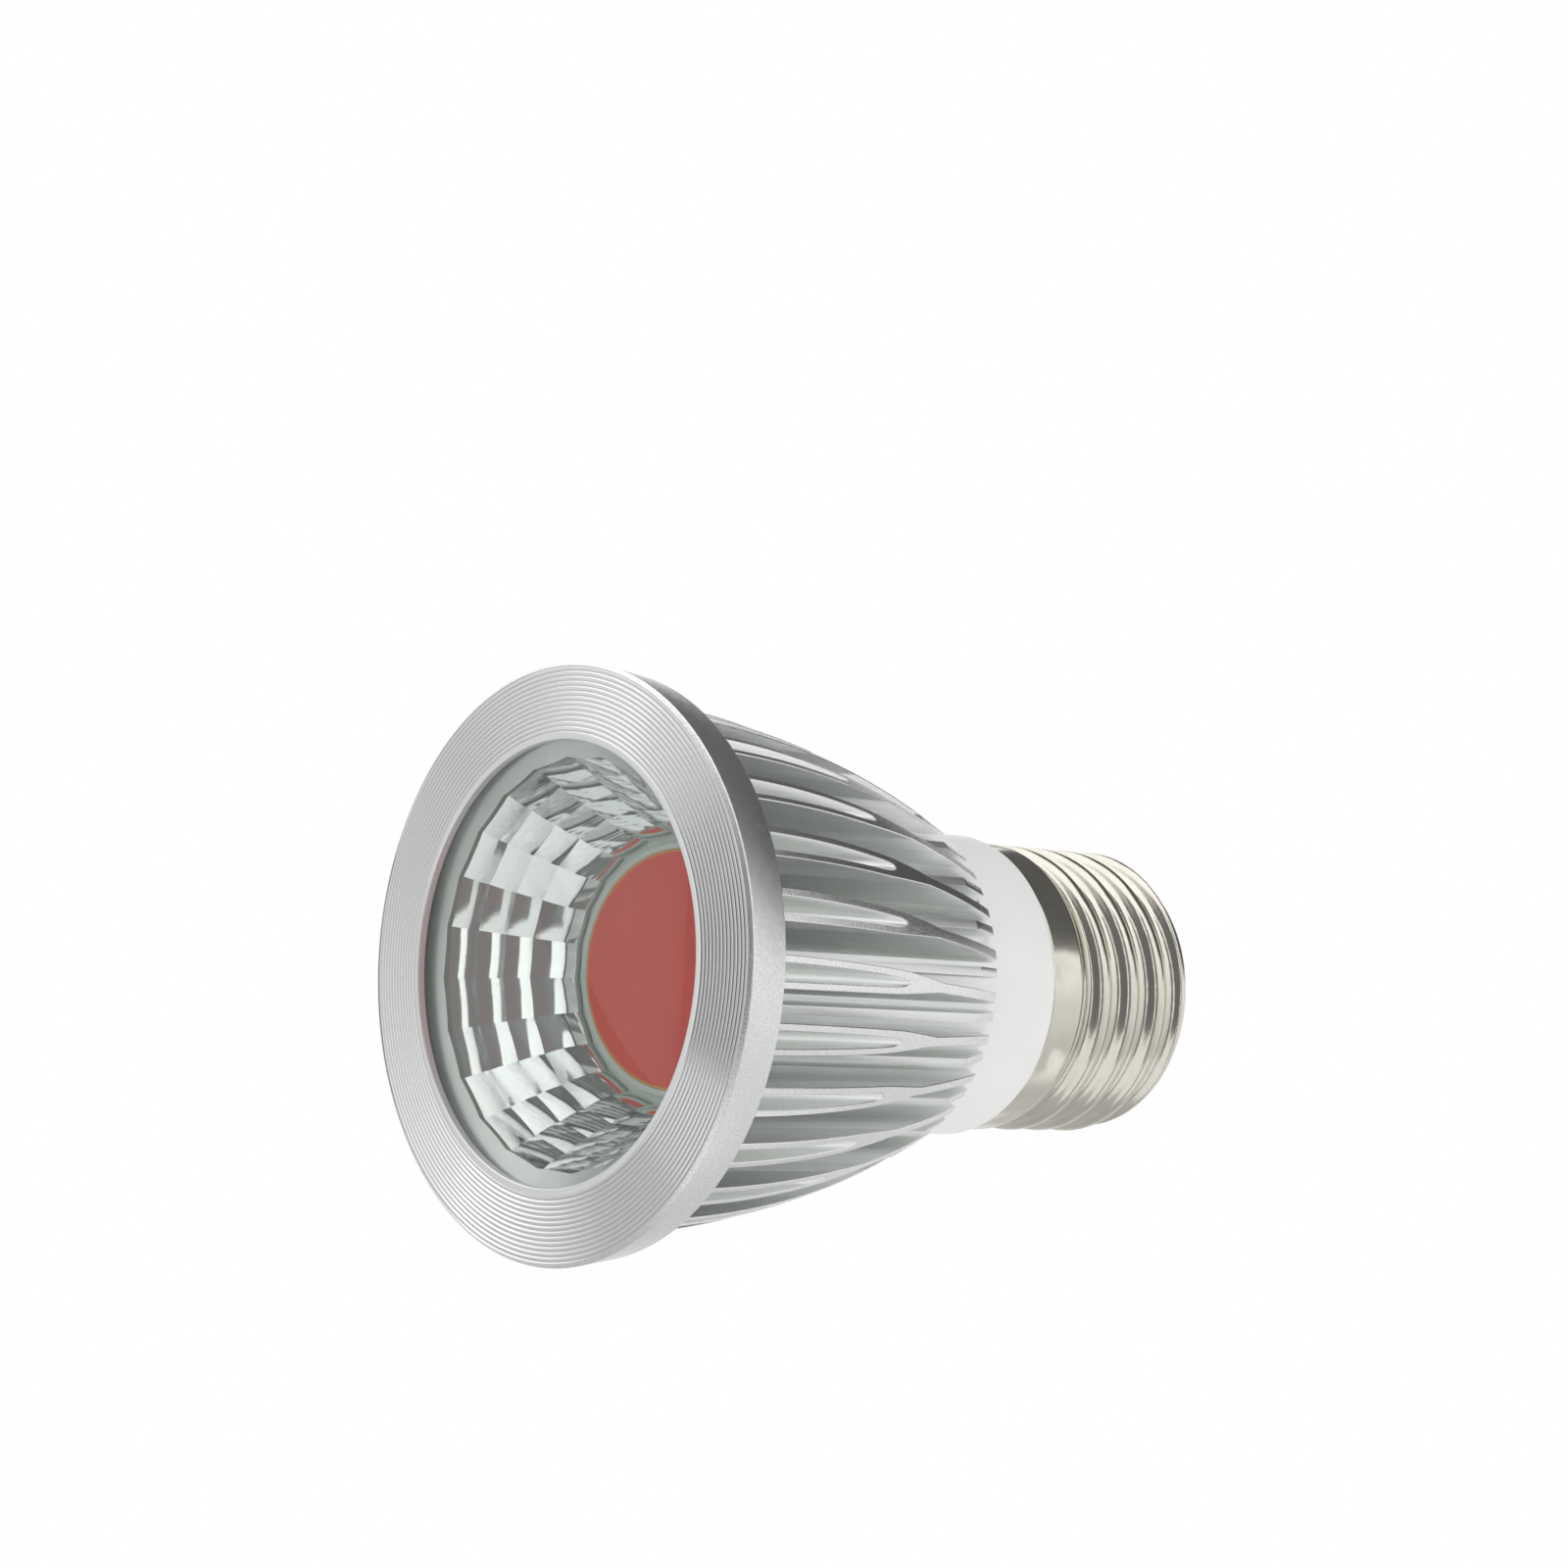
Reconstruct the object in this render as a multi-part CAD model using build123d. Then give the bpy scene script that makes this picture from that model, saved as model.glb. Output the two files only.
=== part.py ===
"""COB LED reflector lamp with a screw base, standing on its front ring: +Z runs from the light to the base."""

import os
from math import cos, pi, radians, sin, sqrt

from build123d import *

# Sizes in mm and angles in degrees.
# Front ring
ring_diameter = 50.0
ring_height = 4.3
ring_wall = 3.35
face_width = 6.5
rim_width = 0.55
ring_taper = 0.55
ring_chamfer = 0.35
ring_face_rise = 0.16
lip_thickness = 0.75
running_gap = 0.05

# Cover glass and reflector
glass_thickness = 1.2
glass_overlap = 1.2
flange_thickness = 0.8
mouth_margin = 1.5
bowl_depth = 9.8
reflector_wall = 0.7
facet_columns = 24
facet_phase = 8.56
# Each ring of facet corners: share of the way in from the mouth to the light, share of the bowl's depth
facet_rings = [(0.0, 0.0), (0.222, 0.23), (0.466, 0.443), (0.684, 0.638), (0.834, 0.83), (1.0, 1.0)]

# Light board
light_diameter = 18.8
light_height = 0.38
dam_width = 0.6
dam_height = 0.45
dam_margin = 0.6
board_thickness = 1.0
pad_thickness = 0.3
board_margin = 2.2

# Heat sink
sink_length = 32.4
bell_step = 0.9
bell_bulge = 1.6
rear_fin_height = 0.7
tube_wall = 3.2
pocket_wall = 1.2
floor_thickness = 7.0
fork_count = 26
fork_lean = 10.0
fork_inset = 1.3
fork_half_width = 0.97
fork_splay = 0.18
valley_radius = 0.42
split_length = 1.35
trunk_width = 0.85
branch_width = 0.6
rib_width = 0.8
rib_height = 2.0

# Base collar
collar_overhang = 0.5
collar_length = 9.6
collar_draft = 0.1
collar_round = 0.9
collar_wall = 1.5
neck_length = 3.0
nose_gap = 4.6

# Screw shell
thread_diameter = 26.2
thread_depth = 1.04
thread_pitch = 3.629
first_crest = 6.87
shell_length = 18.2
shell_wall = 0.35
band_length = 3.5
shoulder_length = 0.9
lip_width = 0.7
crimp_count = 10
crimp_radius = 1.2
crimp_depth = 0.35
crimp_offset = 1.3
crimp_phase = -7.0

# Cap end
insulator_depth = 2.8
insulator_length = 4.1
contact_diameter = 9.6
contact_thickness = 1.4
contact_edge = 0.5
rivet_diameter = 2.8

# Driver, its screws and its wires
circuit_offset = 2.5
circuit_thickness = 1.0
circuit_front_gap = 4.0
circuit_rear_gap = 2.5
groove_depth = 0.6
post_diameter = 4.4
post_length = 10.0
screw_diameter = 2.5
screw_length = 13.0
screw_head_diameter = 4.6
screw_head_height = 1.3
counterbore_depth = 1.6
wire_diameter = 0.9
wire_slack = 0.3

# Levels along the axis, from the front face
glass_rear = lip_thickness + glass_thickness
flange_rear = glass_rear + flange_thickness
sink_rear = ring_height + sink_length
collar_rear = sink_rear + collar_length
shell_rear = collar_rear + shell_length
board_front = glass_rear + bowl_depth
board_rear = board_front + board_thickness
floor_front = board_rear + pad_thickness
floor_rear = floor_front + floor_thickness
nose_rear = shell_rear - nose_gap
insulator_front = shell_rear - insulator_depth
contact_front = shell_rear + insulator_length
lamp_length = contact_front + contact_thickness
circuit_front = floor_rear + circuit_front_gap
circuit_rear = nose_rear - circuit_rear_gap
circuit_length = circuit_rear - circuit_front
screw_seat = floor_front + counterbore_depth

# Radii and places across the axis
ring_radius = ring_diameter / 2
aperture_radius = ring_radius - face_width
glass_radius = aperture_radius + glass_overlap
mouth_radius = aperture_radius - mouth_margin
light_radius = light_diameter / 2
opening_radius = light_radius + dam_width + dam_margin
spigot_radius = ring_radius - ring_wall - running_gap
pocket_radius = opening_radius + reflector_wall + board_margin
tube_radius = pocket_radius + pocket_wall
bore_radius = tube_radius - tube_wall
fork_radius = spigot_radius - fork_inset
bell_front_radius = spigot_radius + bell_step
bell_rear_radius = tube_radius + rear_fin_height
fin_foot = (bore_radius + tube_radius) / 2
crest_radius = thread_diameter / 2
collar_radius = crest_radius + collar_overhang
thread_radius = (thread_diameter - thread_depth) / 2
nose_radius = crest_radius - thread_depth - shell_wall - 2 * running_gap
cavity_radius = min(bore_radius, nose_radius) - collar_wall
wire_radius = wire_diameter / 2
circuit_top = circuit_thickness / 2 - circuit_offset
circuit_half_width = sqrt(cavity_radius**2 - circuit_offset**2) + groove_depth
post_radius = post_diameter / 2
post_centre = cavity_radius - post_radius + collar_wall / 4
screw_radius = screw_diameter / 2
lead_inner = cavity_radius - 4 * wire_radius
lead_outer = pocket_radius - 2 * wire_radius
lead_level = circuit_top + wire_radius


def turned(*edges):
    """Solid of revolution about Z from edges drawn as (radius, height)."""
    return revolve(Plane.XZ * make_face(list(edges)), Axis.Z)


def lathe(*points):
    """Solid of revolution from a closed polygon of (radius, height) corners."""
    return turned(Polyline(*points, close=True))


def cylinder(radius, low, high, x=0.0, y=0.0):
    return Pos(x, y, low) * extrude(Circle(radius), high - low)


def block(x0, x1, y0, y1, z0, z1):
    return Pos((x0 + x1) / 2, (y0 + y1) / 2, (z0 + z1) / 2) * Box(x1 - x0, y1 - y0, z1 - z0)


def wire(radius, bend, *points):
    """Round wire along a polyline with rounded bends."""
    path = FilletPolyline(*points, radius=bend)
    return sweep(Plane(path @ 0, z_dir=path % 0) * Circle(radius), path)


def facet_level(step):
    radius_share, depth_share = facet_rings[step]
    radius = mouth_radius + radius_share * (opening_radius - mouth_radius)
    return radius, glass_rear + depth_share * bowl_depth


def facet_polygon(radius, level):
    return Pos(0, 0, level) * RegularPolygon(radius, facet_columns, rotation=facet_phase)


def facet_funnel(extra):
    """Faceted funnel through every ring of corners, widened by extra."""
    rings = [facet_level(step) for step in range(len(facet_rings))]
    return loft([facet_polygon(radius + extra, level) for radius, level in rings], ruled=True)


def make_front_ring():
    return lathe(
        (aperture_radius + 0.1, 0),
        (aperture_radius + rim_width, 0),
        (ring_radius - ring_chamfer, ring_face_rise),
        (ring_radius, ring_face_rise + 0.8 * ring_chamfer),
        (ring_radius - ring_taper, ring_height),
        (spigot_radius + running_gap, ring_height),
        (spigot_radius + running_gap, flange_rear),
        (glass_radius + running_gap, flange_rear),
        (glass_radius + running_gap, lip_thickness),
        (aperture_radius, lip_thickness),
        (aperture_radius, 0.1),
    )


def make_reflector():
    flange = cylinder(glass_radius, glass_rear, flange_rear)
    mouth = extrude(facet_polygon(mouth_radius, glass_rear - 0.5), 0.5)
    return flange + facet_funnel(reflector_wall) - facet_funnel(0) - mouth


def fin_outline():
    """Forked fin in the plane of the section, its fork on the X axis."""
    tip = ring_radius
    spread = fork_half_width + fork_splay * (tip - fork_radius)
    trunk = trunk_width / 2
    throat = fork_radius + valley_radius
    side = Polyline(
        (fin_foot, -trunk),
        (fork_radius - split_length, -trunk),
        (fork_radius + 0.1, -fork_half_width),
        (tip, -spread),
        (tip, branch_width - spread),
        (throat, -valley_radius),
    )
    valley = ThreePointArc((throat, -valley_radius), (fork_radius, 0), (throat, valley_radius))
    foot = Line((fin_foot, -trunk), (fin_foot, trunk))
    outline = make_face([side, valley, mirror(side, Plane.XZ), foot])
    return Pos(fork_radius, 0) * Rot(0, 0, -fork_lean) * Pos(-fork_radius, 0) * outline


def make_heat_sink():
    step = 360 / fork_count
    fin = fin_outline()
    rib_length = tube_radius + rib_height - fin_foot
    rib = Pos(fin_foot + rib_length / 2, 0) * Rectangle(rib_length, rib_width)
    rib_turn = step / 2 + 0.6 * fork_lean * (fork_radius / tube_radius - 1)
    section = Circle(tube_radius)
    for index in range(fork_count):
        section += Rot(0, 0, index * step) * fin
        section += Rot(0, 0, index * step + rib_turn) * rib
    raw = Pos(0, 0, flange_rear) * extrude(section, sink_rear - flange_rear)
    front = (bell_front_radius, ring_height)
    rear = (bell_rear_radius, sink_rear)
    middle = ((front[0] + rear[0]) / 2 + bell_bulge, (front[1] + rear[1]) / 2)
    bell = turned(
        Polyline(rear, (0, sink_rear), (0, flange_rear), (spigot_radius, flange_rear),
                 (spigot_radius, ring_height), front),
        ThreePointArc(front, middle, rear),
    )
    wide = mouth_radius + reflector_wall + 0.5
    pocket = lathe(
        (0, flange_rear - 1),
        (wide, flange_rear - 1),
        (wide, flange_rear),
        (pocket_radius, board_front - 1.5),
        (pocket_radius, floor_front),
        (0, floor_front),
    )
    body = (raw & bell) - pocket - cylinder(bore_radius, floor_rear, sink_rear + 1)
    for side in (-1, 1):
        y = side * post_centre
        body -= cylinder(screw_radius + 4 * running_gap, floor_front, floor_rear, 0, y)
        body -= cylinder(screw_head_diameter / 2 + 0.3, floor_front, screw_seat, 0, y)
        body -= lead(side, wire_slack)
    return body


def lead(side, extra):
    """Lead from the driver board through the sink floor to the light board, or its hole when widened."""
    top = board_front - wire_radius
    return wire(
        wire_radius + extra,
        0.8,
        (side * lead_inner, lead_level, circuit_front + 3),
        (side * lead_inner, lead_level, floor_rear + 0.6),
        (side * lead_outer, lead_level, floor_front + 0.4),
        (side * lead_outer, lead_level, top),
        (side * (lead_outer - 0.3), lead_level + 2.6, top),
    )


def make_collar_screws():
    screws = []
    for side in (-1, 1):
        y = side * post_centre
        top = screw_seat - screw_head_height
        head = cylinder(screw_head_diameter / 2, top, screw_seat, 0, y)
        shank = cylinder(screw_radius, screw_seat, screw_seat + screw_length, 0, y)
        cross = block(-1.2, 1.2, y - 0.25, y + 0.25, top, top + 0.7)
        cross += block(-0.25, 0.25, y - 1.2, y + 1.2, top, top + 0.7)
        screws.append(head + shank - cross)
    return Compound(children=screws)


def crimps(extra):
    """Balls whose tips dent the shell's band all round, grown by extra."""
    reach = crest_radius + crimp_radius - crimp_depth
    turns = [crimp_phase + index * 360 / crimp_count for index in range(crimp_count)]
    ball = Pos(reach, 0, collar_rear + crimp_offset) * Sphere(crimp_radius + extra)
    return [Rot(0, 0, turn) * ball for turn in turns]


def make_base_collar():
    edge = (collar_radius, collar_rear - collar_round)
    corner = (collar_radius - collar_round, collar_rear)
    skirt = turned(
        RadiusArc(edge, corner, -collar_round),
        Polyline(corner, (0, collar_rear), (0, sink_rear), (collar_radius - collar_draft, sink_rear), edge),
    )
    plug = cylinder(bore_radius - running_gap, floor_rear, sink_rear)
    neck = cylinder(crest_radius - shell_wall - running_gap, collar_rear, collar_rear + neck_length)
    nose = cylinder(nose_radius, collar_rear, nose_rear)
    body = skirt + plug + neck + nose - cylinder(cavity_radius, floor_rear, nose_rear)
    post_rear = floor_rear + post_length
    for side in (-1, 1):
        y = side * post_centre
        post = cylinder(post_radius, floor_rear, post_rear, 0, y)
        body += post & cylinder(bore_radius - 0.3, floor_rear, post_rear)
        body -= cylinder(screw_radius + running_gap / 2, floor_rear, post_rear, 0, y)
    body -= circuit_plate(circuit_half_width, nose_rear)
    for ball in crimps(shell_wall):
        body -= ball
    return body


def circuit_plate(half_width, rear):
    return block(-half_width, half_width, circuit_top - circuit_thickness, circuit_top, circuit_front, rear)


def make_screw_shell():
    """Thin tube whose centre winds round the axis once a pitch, which is a rounded screw thread."""
    swing = thread_depth / 2
    start = collar_rear + band_length + shoulder_length
    end = shell_rear - 0.5
    crest = collar_rear + first_crest
    count = 64
    points = []
    for index in range(count + 1):
        level = start + (end - start) * index / count
        grow = min(1.0, (level - start) / 1.2, (end - level) / 0.8)
        grow = grow * grow * (3 - 2 * grow)
        turn = 2 * pi * (level - crest) / thread_pitch
        points.append((swing * grow * cos(turn), swing * grow * sin(turn), level))
    path = Spline(*points)
    bore = thread_radius - shell_wall
    outer = sweep(Pos(0, 0, start) * Circle(thread_radius), path, normal=(0, 0, 1))
    inner = sweep(Pos(0, 0, start) * Circle(bore), path, normal=(0, 0, 1))
    band_rear = collar_rear + band_length
    band = lathe(
        (crest_radius, collar_rear),
        (crest_radius, band_rear),
        (thread_radius, start),
        (bore, start),
        (crest_radius - shell_wall, band_rear),
        (crest_radius - shell_wall, collar_rear),
    )
    lip = lathe(
        (thread_radius, end),
        (thread_radius - 0.25, end + 0.2 + shell_wall),
        (thread_radius - 0.9, end + 0.5 + shell_wall),
        (nose_radius - lip_width, end + 0.5 + shell_wall),
        (nose_radius - lip_width, end + 0.5),
        (nose_radius, end + 0.5),
        (bore - 0.15, end + 0.3),
        (bore, end),
    )
    body = band + (outer - inner) + lip
    for dent, hollow in zip(crimps(shell_wall), crimps(0)):
        body += dent & cylinder(crest_radius - shell_wall / 2, collar_rear, band_rear)
        body -= hollow
    return body


def make_cover_glass():
    return cylinder(glass_radius, lip_thickness, glass_rear)


def slotted_disc(front, rear):
    """Round plate filling the sink's pocket, with a slot at each side for a lead."""
    disc = cylinder(pocket_radius - running_gap, front, rear)
    half = wire_radius + wire_slack
    for side in (-1, 1):
        near, far = sorted((side * (lead_outer - half), side * pocket_radius))
        disc -= block(near, far, lead_level - half, lead_level + half, front, rear)
    return disc


def make_cob_dam():
    top = board_front - dam_height
    return cylinder(light_radius + dam_width, top, board_front) - cylinder(light_radius, top, board_front)


def make_led_disc():
    return cylinder(light_radius, board_front - light_height, board_front)


def make_driver_board():
    return circuit_plate(circuit_half_width - running_gap / 2, circuit_rear)


def on_board(x0, x1, height, z0, z1):
    """Block standing on the driver board; x and height are shares of the cavity's radius, z of the board's length."""
    unit = cavity_radius
    low = circuit_front + z0 * circuit_length
    high = circuit_front + z1 * circuit_length
    return block(x0 * unit, x1 * unit, circuit_top, circuit_top + height * unit, low, high)


def make_output_capacitor():
    radius = 0.4 * cavity_radius
    low = circuit_front + 0.05 * circuit_length
    high = circuit_front + 0.4 * circuit_length
    groove = high - 1.5
    can = lathe(
        (0, low),
        (radius - 0.4, low),
        (radius, low + 0.4),
        (radius, groove - 0.5),
        (radius - 0.35, groove),
        (radius, groove + 0.5),
        (radius, high - 0.3),
        (radius - 0.3, high),
        (0, high),
    )
    return Pos(-0.46 * cavity_radius, circuit_top + radius, 0) * can


def make_input_capacitor():
    body = on_board(0.3, 0.74, 0.7, 0.09, 0.39)
    return fillet(body.edges().filter_by(Axis.Z), 0.4)


def make_transformer_core():
    core = on_board(-0.45, 0.45, 0.8, 0.52, 0.67)
    for side in (-1, 1):
        near, far = sorted((side * 0.15, side * 0.33))
        core -= Pos(0, 0.13 * cavity_radius, 0) * on_board(near, far, 0.54, 0.52, 0.67)
    return core


def make_transformer_coil():
    coil = on_board(-0.33, 0.33, 0.54, 0.47, 0.72) - on_board(-0.15, 0.15, 0.54, 0.52, 0.67)
    return Pos(0, 0.13 * cavity_radius, 0) * coil


def make_rectifier():
    body = on_board(-0.25, 0.22, 0.26, 0.78, 0.9)
    return chamfer(body.faces().sort_by(Axis.Y)[-1].edges(), 0.3)


def make_fuse_resistor():
    radius = 0.11 * cavity_radius
    low = circuit_front + 0.76 * circuit_length
    high = circuit_front + 0.94 * circuit_length
    body = lathe(
        (0, low),
        (radius - 0.2, low),
        (radius, low + 0.2),
        (radius, low + 1.4),
        (radius - 0.15, low + 1.7),
        (radius - 0.15, high - 1.7),
        (radius, high - 1.4),
        (radius, high - 0.2),
        (radius - 0.2, high),
        (0, high),
    )
    return Pos(0.65 * cavity_radius, circuit_top + radius, 0) * body


def make_driver_chip():
    height = 0.15 * cavity_radius
    body = Pos(0, -circuit_thickness - height, 0) * on_board(-0.2, 0.2, 0.15, 0.5, 0.65)
    return chamfer(body.faces().sort_by(Axis.Y)[0].edges(), 0.2)


def make_live_wire():
    x = 0.35 * cavity_radius
    return wire(
        wire_radius,
        0.5,
        (x, lead_level, circuit_rear - 2.5),
        (x, lead_level, circuit_rear + 0.8),
        (0, 0, insulator_front - 1.2),
        (0, 0, insulator_front),
    )


def make_neutral_wire():
    x = -0.5 * cavity_radius
    level = (nose_rear + insulator_front) / 2
    return wire(
        wire_radius,
        0.5,
        (x, lead_level, circuit_rear - 2.5),
        (x, lead_level, level),
        (0.3 - nose_radius, lead_level, level),
    )


def make_insulator():
    seat = nose_radius - 2 * running_gap
    throat = nose_radius - lip_width - running_gap
    body = lathe(
        (0, insulator_front),
        (seat, insulator_front),
        (seat, shell_rear),
        (throat, shell_rear),
        (throat, shell_rear + shell_wall),
        (contact_diameter / 2 + 0.6, contact_front),
        (0, contact_front),
    )
    return body - cylinder(rivet_diameter / 2 + running_gap / 2, insulator_front, contact_front)


def make_centre_contact():
    rim = contact_diameter / 2
    stem = rivet_diameter / 2
    shoulder = contact_front + contact_edge
    return turned(
        Polyline((0, lamp_length), (0, insulator_front), (stem, insulator_front), (stem, contact_front),
                 (rim, contact_front), (rim, shoulder)),
        TangentArc((0, lamp_length), (rim, shoulder), tangent=(1, 0)),
    )


PARTS = {
    "front_ring": make_front_ring(),
    "cover_glass": make_cover_glass(),
    "reflector": make_reflector(),
    "cob_board": slotted_disc(board_front, board_rear),
    "cob_dam": make_cob_dam(),
    "led_disc": make_led_disc(),
    "thermal_pad": slotted_disc(board_rear, floor_front),
    "heat_sink": make_heat_sink(),
    "collar_screws": make_collar_screws(),
    "positive_lead": lead(1, 0),
    "negative_lead": lead(-1, 0),
    "driver_board": make_driver_board(),
    "input_capacitor": make_input_capacitor(),
    "output_capacitor": make_output_capacitor(),
    "transformer_core": make_transformer_core(),
    "transformer_coil": make_transformer_coil(),
    "rectifier": make_rectifier(),
    "driver_chip": make_driver_chip(),
    "fuse_resistor": make_fuse_resistor(),
    "base_collar": make_base_collar(),
    "screw_shell": make_screw_shell(),
    "insulator": make_insulator(),
    "centre_contact": make_centre_contact(),
    "live_wire": make_live_wire(),
    "neutral_wire": make_neutral_wire(),
}

os.makedirs("parts", exist_ok=True)
for name, shape in PARTS.items():
    export_step(shape, f"parts/{name}.step")
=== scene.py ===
"""Looks of a COB LED reflector lamp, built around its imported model.

The lamp stands on its front ring: +Z runs from the light to the screw base. Profiles below are in millimetres.
"""

from math import pi, radians

import bmesh
import bpy
import numpy as np
from bpy.props import FloatProperty, FloatVectorProperty, PointerProperty
from mathutils import Matrix, Vector


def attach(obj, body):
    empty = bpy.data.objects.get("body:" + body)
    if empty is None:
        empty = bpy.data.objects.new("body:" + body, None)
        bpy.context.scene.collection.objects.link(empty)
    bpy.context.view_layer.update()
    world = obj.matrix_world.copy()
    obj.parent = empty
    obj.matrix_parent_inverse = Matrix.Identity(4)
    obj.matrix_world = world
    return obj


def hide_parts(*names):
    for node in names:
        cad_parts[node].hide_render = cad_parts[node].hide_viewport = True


bl_info = {
    "name": "COB LED lamp",
    "version": (1, 0, 0),
    "blender": (4, 5, 0),
    "location": "3D View > Sidebar > Lamp",
    "description": "Builds the visible pieces, finishes and studio of a reflector lamp",
    "category": "Add Mesh",
}

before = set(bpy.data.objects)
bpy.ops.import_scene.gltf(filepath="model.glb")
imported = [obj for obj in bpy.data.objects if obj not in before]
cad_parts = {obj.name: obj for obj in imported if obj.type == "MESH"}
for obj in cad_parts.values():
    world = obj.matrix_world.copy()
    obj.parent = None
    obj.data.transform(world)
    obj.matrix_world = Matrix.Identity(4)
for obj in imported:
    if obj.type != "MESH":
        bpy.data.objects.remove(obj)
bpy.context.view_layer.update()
MM = 0.001
# Points of one mesh that lie within this many metres become one
JOIN = 5e-7


def span(name):
    """Inner and outer radius, front and rear level of a CAD node, in millimetres to the nearest 0.01."""
    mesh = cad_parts[name].data
    points = np.empty(len(mesh.vertices) * 3, np.float32)
    mesh.vertices.foreach_get("co", points)
    x, y, z = points.reshape(-1, 3).T / MM
    radius = np.hypot(x, y)
    return tuple(round(float(edge), 2) for edge in (radius.min(), radius.max(), z.min(), z.max()))


# Sizes of the solids, in millimetres
RING_BORE, RING_RADIUS, _, RING_REAR = span("front_ring")
_, COVER_RADIUS, COVER_FRONT, COVER_REAR = span("cover_glass")
BOWL_END, _, _, BOWL_REAR = span("reflector")
DAM_BORE, DAM_RADIUS, DAM_FRONT, _ = span("cob_dam")
_, BOARD_RADIUS, BOARD_FRONT, BOARD_REAR = span("cob_board")
_, _, _, FLOOR_FRONT = span("thermal_pad")
_, SINK_RADIUS, SINK_FRONT, SINK_REAR = span("heat_sink")
_, COLLAR_RADIUS, FLOOR_REAR, NOSE_REAR = span("base_collar")
SHELL_END, SHELL_RADIUS, SHELL_FRONT, SHELL_REAR = span("screw_shell")
_, GLASS_RADIUS, GLASS_FRONT, GLASS_REAR = span("insulator")
_, CONTACT_RADIUS, _, CONTACT_REAR = span("centre_contact")

# The ring's groove: where a turn starts on +X, and the share of the pitch from there to its bottom
GROOVE_START = 20.41
GROOVE_BOTTOM = 0.36

# The reflector's flat sides and the angle of their first edge
FACETS = 24
FACET_PHASE = radians(8.56)

# The heat sink: its tube, the pocket in its front, the spigot that seats in the ring, and the turned outline
TUBE_RADIUS = 14.7
TUBE_BORE = 11.5
POCKET_MOUTH = 18.2
POCKET_RADIUS = 13.5
POCKET_REAR = 10.25
SPIGOT_RADIUS = RING_RADIUS - 3.4
BELL_REAR_RADIUS = TUBE_RADIUS + 0.7
BELL_BULGE = 1.6

# Its forks: how many, the radius where each splits in two, and that of their roots, just inside the tube's wall
FORKS = 26
FORK_RADIUS = 20.3
FIN_ROOT = TUBE_RADIUS - 0.01


# Colours and nodes


def linear(code):
    """Linear RGBA of an sRGB hex colour: a channel c becomes c/12.92 below 0.04045, and ((c + 0.055)/1.055)^2.4
    above."""
    channels = np.array([int(code[i : i + 2], 16) / 255 for i in (0, 2, 4)])
    low, high = channels / 12.92, ((channels + 0.055) / 1.055) ** 2.4
    return (*np.where(channels <= 0.04045, low, high).tolist(), 1.0)


def add(tree, kind, inputs=None, **settings):
    """Adds a node with its settings. Inputs maps a socket's name or number to a value, or to the socket that
    feeds it."""
    made = tree.nodes.new(kind)
    for key, value in settings.items():
        setattr(made, key, value)
    for key, value in (inputs or {}).items():
        if isinstance(value, bpy.types.NodeSocket):
            tree.links.new(value, made.inputs[key])
        else:
            made.inputs[key].default_value = value
    return made


def new_material(name, **shader):
    """Node material with one Principled shader, whose sockets are set by name with _ for a space."""
    material = bpy.data.materials.new(name)
    material.use_nodes = True
    tree = material.node_tree
    principled = tree.nodes["Principled BSDF"]
    for key, value in shader.items():
        principled.inputs[key.replace("_", " ")].default_value = value
    return material, tree, principled


def spread(colour, amount):
    """The colour darkened and lightened by amount, as the two ends of a mix."""
    base = np.array(colour[:3])
    return (*(base * (1 - amount)).tolist(), 1.0), (*np.minimum(base * (1 + amount), 1).tolist(), 1.0)


def mottled(tree, principled, colour, amount, factor):
    """Feeds the base colour with a mix between its darker and lighter ends."""
    dark, light = spread(colour, amount)
    mix = add(tree, "ShaderNodeMix", {0: factor, 6: dark, 7: light}, data_type="RGBA")
    tree.links.new(mix.outputs[2], principled.inputs["Base Color"])


def grain(tree, size_mm, stretch=(1, 1, 1), detail=2.0, roughness=0.5):
    """Noise in object coordinates whose features are about size_mm across, pulled along an axis by stretch."""
    place = add(tree, "ShaderNodeTexCoord").outputs["Object"]
    scale = tuple(1000 / (size_mm * pull) for pull in stretch)
    mapped = add(tree, "ShaderNodeMapping", {"Vector": place, "Scale": scale}).outputs["Vector"]
    inputs = {"Vector": mapped, "Scale": 1.0, "Detail": detail, "Roughness": roughness}
    return add(tree, "ShaderNodeTexNoise", inputs)


def bump(tree, principled, height, depth_mm):
    """Bump of that depth on the shader's normal."""
    made = add(tree, "ShaderNodeBump", {"Height": height, "Distance": depth_mm * MM, "Strength": 1.0})
    tree.links.new(made.outputs["Normal"], principled.inputs["Normal"])


# Meshes


def quads(rows, columns, loop_rows, loop_columns):
    """Corner numbers of a grid's quads, row by row: (i,j), (i,j+1), (i+1,j+1), (i+1,j). A looped direction wraps
    round."""
    i = np.arange(rows if loop_rows else rows - 1)[:, None]
    j = np.arange(columns if loop_columns else columns - 1)[None, :]
    below, beside = (i + 1) % rows, (j + 1) % columns
    corners = [i * columns + j, i * columns + beside, below * columns + beside, below * columns + j]
    return np.stack(np.broadcast_arrays(*corners), axis=-1).reshape(-1, 4)


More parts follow.
